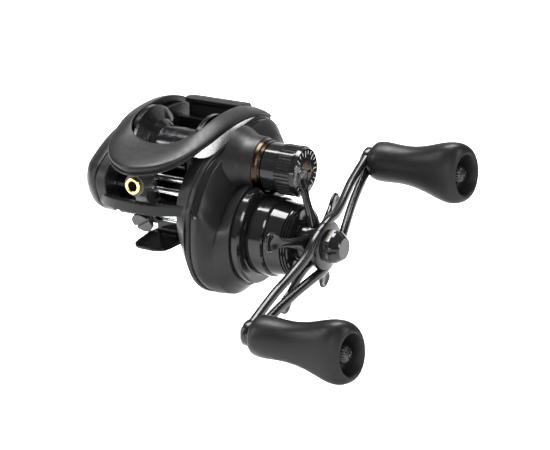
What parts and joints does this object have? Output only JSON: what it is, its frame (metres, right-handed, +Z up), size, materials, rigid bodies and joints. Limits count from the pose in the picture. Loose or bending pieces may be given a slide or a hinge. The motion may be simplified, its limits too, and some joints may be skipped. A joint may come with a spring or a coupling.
{
  "type": "baitcasting fishing reel",
  "caption": "Low-profile baitcasting fishing reel for a left hand on the handle, with a double paddle handle, star drag, level wind and thumb bar.",
  "frame": {"origin": "on the underside of the reel foot, straight below the middle of the spool axis", "axes": "+X along the spool axis towards the handle, -Y towards the line guide where the line leaves, +Z up from the rod seat"},
  "size_m": [0.1202, 0.0922, 0.0684],
  "materials": {
    "frame_paint": "satin dark grey paint with a fine metallic flake",
    "gloss_black": "gloss black anodised",
    "polished_trim": "polished",
    "steel": "machined",
    "spool_black": "gloss black anodised, machined",
    "dark_plastic": "moulded",
    "brake_alloy": "machined",
    "gear_brass": "machined",
    "carbon": "woven carbon friction washer",
    "bronze": "anodised bronze",
    "gold_ring": "polished gold-coloured ring",
    "chrome_rod": "polished",
    "pawl_black": "satin black",
    "cap_black": "gloss black",
    "soft_rubber": "soft-touch",
    "knob_cap_black": "gloss black ribbed"
  },
  "bodies": {
    "reel_body": {"frame": "frame_paint", "front_hood": "frame_paint", "reel_foot": "gloss_black", "foot_screws": "steel", "palm_side_plate": "frame_paint", "gear_side_cover": "frame_paint", "left_side_trim": "polished_trim", "right_side_trim": "polished_trim", "cover_screws": "steel", "palm_bearing": "steel", "knob_side_bearing": "steel", "pinion_bearing": "steel", "drive_bearing": "steel", "anti_reverse_bearing": "steel", "shaft_bush": "gear_brass", "drag_housing": "gloss_black", "bearing_collar": "gloss_black", "cast_control_ring": "bronze", "brake_drum": "brake_alloy", "worm_guard": "chrome_rod", "guide_rods": "chrome_rod", "yoke_posts": "steel", "yoke_springs": "steel"},
    "handle": {"main_shaft": "steel", "drive_gear": "gear_brass", "drag_washers": "carbon", "drag_plates": "steel", "anti_reverse_sleeve": "steel", "ratchet": "steel", "worm_drive_gear": "dark_plastic", "drag_spring_washers": "steel", "handle_arm": "gloss_black", "handle_nut": "steel", "nut_cap": "cap_black", "knob_posts": "steel", "knob_bushes": "dark_plastic"},
    "star": {"star_drag": "gloss_black"},
    "upper_knob": {"paddle_knob_upper": "soft_rubber", "knob_cap_upper": "knob_cap_black"},
    "lower_knob": {"paddle_knob_lower": "soft_rubber", "knob_cap_lower": "knob_cap_black"},
    "spool": {"spool": "spool_black", "spool_shaft": "steel", "clutch_pin": "steel", "brake_rotor": "dark_plastic", "brake_blocks": "dark_plastic"},
    "yoke": {"yoke": "dark_plastic"},
    "pinion": {"pinion_gear": "gear_brass"},
    "clutch": {"clutch_cam": "steel", "kick_lever": "steel"},
    "thumb_bar": {"thumb_bar": "frame_paint"},
    "worm": {"worm_shaft": "chrome_rod", "worm_gear": "dark_plastic"},
    "line_guide": {"line_guide": "dark_plastic", "guide_ring": "gold_ring", "pawl_cap": "pawl_black"},
    "pawl": {"pawl": "steel"},
    "cast_control": {"cast_control_knob": "gloss_black", "coin_slot_insert": "bronze"},
    "brake_dial": {"brake_dial": "gloss_black"}
  },
  "joints": [
    {"name": "handle_turn", "type": "hinge", "parent": "reel_body", "child": "handle", "pos_m": [0.05, -0.0052, 0.00685], "axis": [1, 0, 0], "continuous": true},
    {"name": "spool_spin", "type": "hinge", "parent": "reel_body", "child": "spool", "pos_m": [0, 0, 0.029], "axis": [1, 0, 0], "continuous": true},
    {"name": "thumb_press", "type": "slide", "parent": "reel_body", "child": "thumb_bar", "axis": [0, 0, -1], "range_m": [0, 0.004]},
    {"name": "yoke_lift", "type": "slide", "parent": "reel_body", "child": "yoke", "axis": [1, 0, 0], "range_m": [0, 0.0012]},
    {"name": "pinion_spin", "type": "hinge", "parent": "yoke", "child": "pinion", "pos_m": [0.022, 0, 0.029], "axis": [1, 0, 0], "continuous": true},
    {"name": "clutch_turn", "type": "hinge", "parent": "reel_body", "child": "clutch", "pos_m": [0.0173, 0, 0.029], "axis": [1, 0, 0], "range_deg": [-12, 0]},
    {"name": "worm_spin", "type": "hinge", "parent": "reel_body", "child": "worm", "pos_m": [0, -0.01947, 0.01351], "axis": [1, 0, 0], "continuous": true},
    {"name": "guide_travel", "type": "slide", "parent": "reel_body", "child": "line_guide", "axis": [1, 0, 0], "range_m": [-0.0083, 0.0083]},
    {"name": "pawl_swivel", "type": "hinge", "parent": "line_guide", "child": "pawl", "pos_m": [0, -0.02294, 0.01151], "axis": [0, -0.866, -0.5], "range_deg": [-28, 28]},
    {"name": "star_turn", "type": "hinge", "parent": "handle", "child": "star", "pos_m": [0.0545, -0.0052, 0.00685], "axis": [1, 0, 0], "range_deg": [-180, 180]},
    {"name": "upper_knob_spin", "type": "hinge", "parent": "handle", "child": "upper_knob", "pos_m": [0.075, 0.0339, 0.02592], "axis": [1, 0, 0], "continuous": true},
    {"name": "lower_knob_spin", "type": "hinge", "parent": "handle", "child": "lower_knob", "pos_m": [0.075, -0.0443, -0.01222], "axis": [1, 0, 0], "continuous": true},
    {"name": "cast_control_turn", "type": "hinge", "parent": "reel_body", "child": "cast_control", "pos_m": [0.043, 0, 0.029], "axis": [1, 0, 0], "range_deg": [-180, 180]},
    {"name": "brake_dial_turn", "type": "hinge", "parent": "reel_body", "child": "brake_dial", "pos_m": [-0.027, 0, 0.025], "axis": [-1, 0, 0], "range_deg": [0, 270]}
  ],
  "couplings": [
    {"joint": "spool_spin", "follows": "handle_turn", "ratio": -7.2727},
    {"joint": "pinion_spin", "follows": "handle_turn", "ratio": -7.2727},
    {"joint": "worm_spin", "follows": "handle_turn", "ratio": -2.3158},
    {"joint": "yoke_lift", "follows": "thumb_press", "ratio": 0.3},
    {"joint": "clutch_turn", "follows": "thumb_press", "rad_per_m": -52.36}
  ]
}
